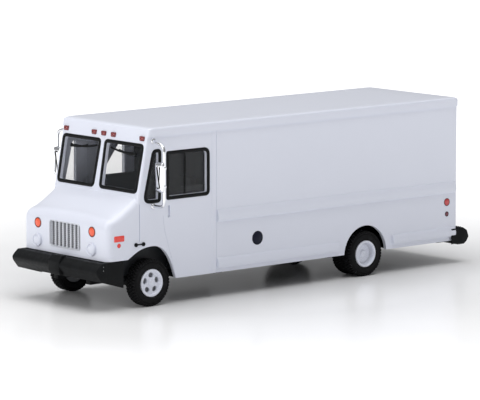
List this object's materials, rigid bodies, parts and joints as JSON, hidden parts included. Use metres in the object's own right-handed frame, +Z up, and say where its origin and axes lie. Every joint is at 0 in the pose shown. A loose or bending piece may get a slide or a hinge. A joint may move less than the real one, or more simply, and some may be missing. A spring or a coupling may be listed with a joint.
{
  "type": "mail delivery truck miniature",
  "caption": "Die-cast miniature of a walk-in step van for mail delivery: boxy white body, sloping nose, split windscreen, black bumpers and free-rolling wheels.",
  "frame": {"origin": "on the ground, under the centre of the bounding box", "axes": "+X forward, +Y to the truck's left, +Z up"},
  "size_m": [0.1388, 0.0478, 0.0489],
  "materials": {
    "body_white": "gloss white enamel over die-cast zinc",
    "black_plastic": "satin black moulded plastic",
    "window_gasket": "satin black",
    "interior_plastic": "matt dark grey moulded plastic",
    "clear_glazing": "clear moulded glazing",
    "chrome_plastic": "vacuum-metallised plastic",
    "grille_silver": "silver paint",
    "steel": "bright steel wire",
    "hub_plastic": "satin off-white moulded plastic",
    "tyre_rubber": "matt black rubber",
    "amber_lens": "gloss orange-red lens paint",
    "red_lens": "gloss red lens paint",
    "dark_red_lens": "gloss dark red lens paint"
  },
  "bodies": {
    "truck": {"body_shell": "body_white", "chassis_base": "black_plastic", "front_bumper": "black_plastic", "rear_bumper": "black_plastic", "cab_interior": "interior_plastic", "steering_wheel": "black_plastic", "windscreen_gasket_left": "window_gasket", "windscreen_glass_left": "clear_glazing", "windscreen_gasket_right": "window_gasket", "windscreen_glass_right": "clear_glazing", "quarter_window_gasket_left": "window_gasket", "quarter_window_glass_left": "clear_glazing", "quarter_window_gasket_right": "window_gasket", "quarter_window_glass_right": "clear_glazing", "door_window_gasket_left": "window_gasket", "door_window_glass_left": "clear_glazing", "door_window_gasket_right": "window_gasket", "door_window_glass_right": "clear_glazing", "wiper_left": "black_plastic", "turn_signal_left": "amber_lens", "headlamp_left": "body_white", "side_reflector_front_left": "amber_lens", "side_marker_lamp_left": "amber_lens", "side_stop_lamp_left": "red_lens", "side_reflector_rear_left": "dark_red_lens", "tail_lamp_left": "red_lens", "hood_latch_left": "black_plastic", "mirror_bracket_left": "chrome_plastic", "mirror_head_left": "chrome_plastic", "wiper_right": "black_plastic", "turn_signal_right": "amber_lens", "headlamp_right": "body_white", "side_reflector_front_right": "amber_lens", "side_marker_lamp_right": "amber_lens", "side_stop_lamp_right": "red_lens", "side_reflector_rear_right": "dark_red_lens", "tail_lamp_right": "red_lens", "hood_latch_right": "black_plastic", "mirror_bracket_right": "chrome_plastic", "mirror_head_right": "chrome_plastic", "grille": "grille_silver", "fuel_filler_cap": "black_plastic", "rivet_front": "steel", "rivet_rear": "steel", "roof_marker_lamp_1": "red_lens", "roof_marker_lamp_2": "red_lens", "roof_marker_lamp_3": "red_lens", "roof_marker_lamp_4": "red_lens", "roof_marker_lamp_5": "red_lens"},
    "front_wheelset": {"front_axle": "steel", "front_hub_left": "hub_plastic", "front_hub_right": "hub_plastic", "front_tyre_left": "tyre_rubber", "front_tyre_right": "tyre_rubber"},
    "rear_wheelset": {"rear_axle": "steel", "rear_hub_left": "hub_plastic", "rear_hub_right": "hub_plastic", "rear_tyre_left": "tyre_rubber", "rear_tyre_right": "tyre_rubber"}
  },
  "joints": [
    {"name": "front_axle_spin", "type": "hinge", "parent": "truck", "child": "front_wheelset", "pos_m": [0.05015, 0, 0.00646], "axis": [0, 1, 0], "continuous": true},
    {"name": "rear_axle_spin", "type": "hinge", "parent": "truck", "child": "rear_wheelset", "pos_m": [-0.02885, 0, 0.00646], "axis": [0, 1, 0], "continuous": true}
  ]
}
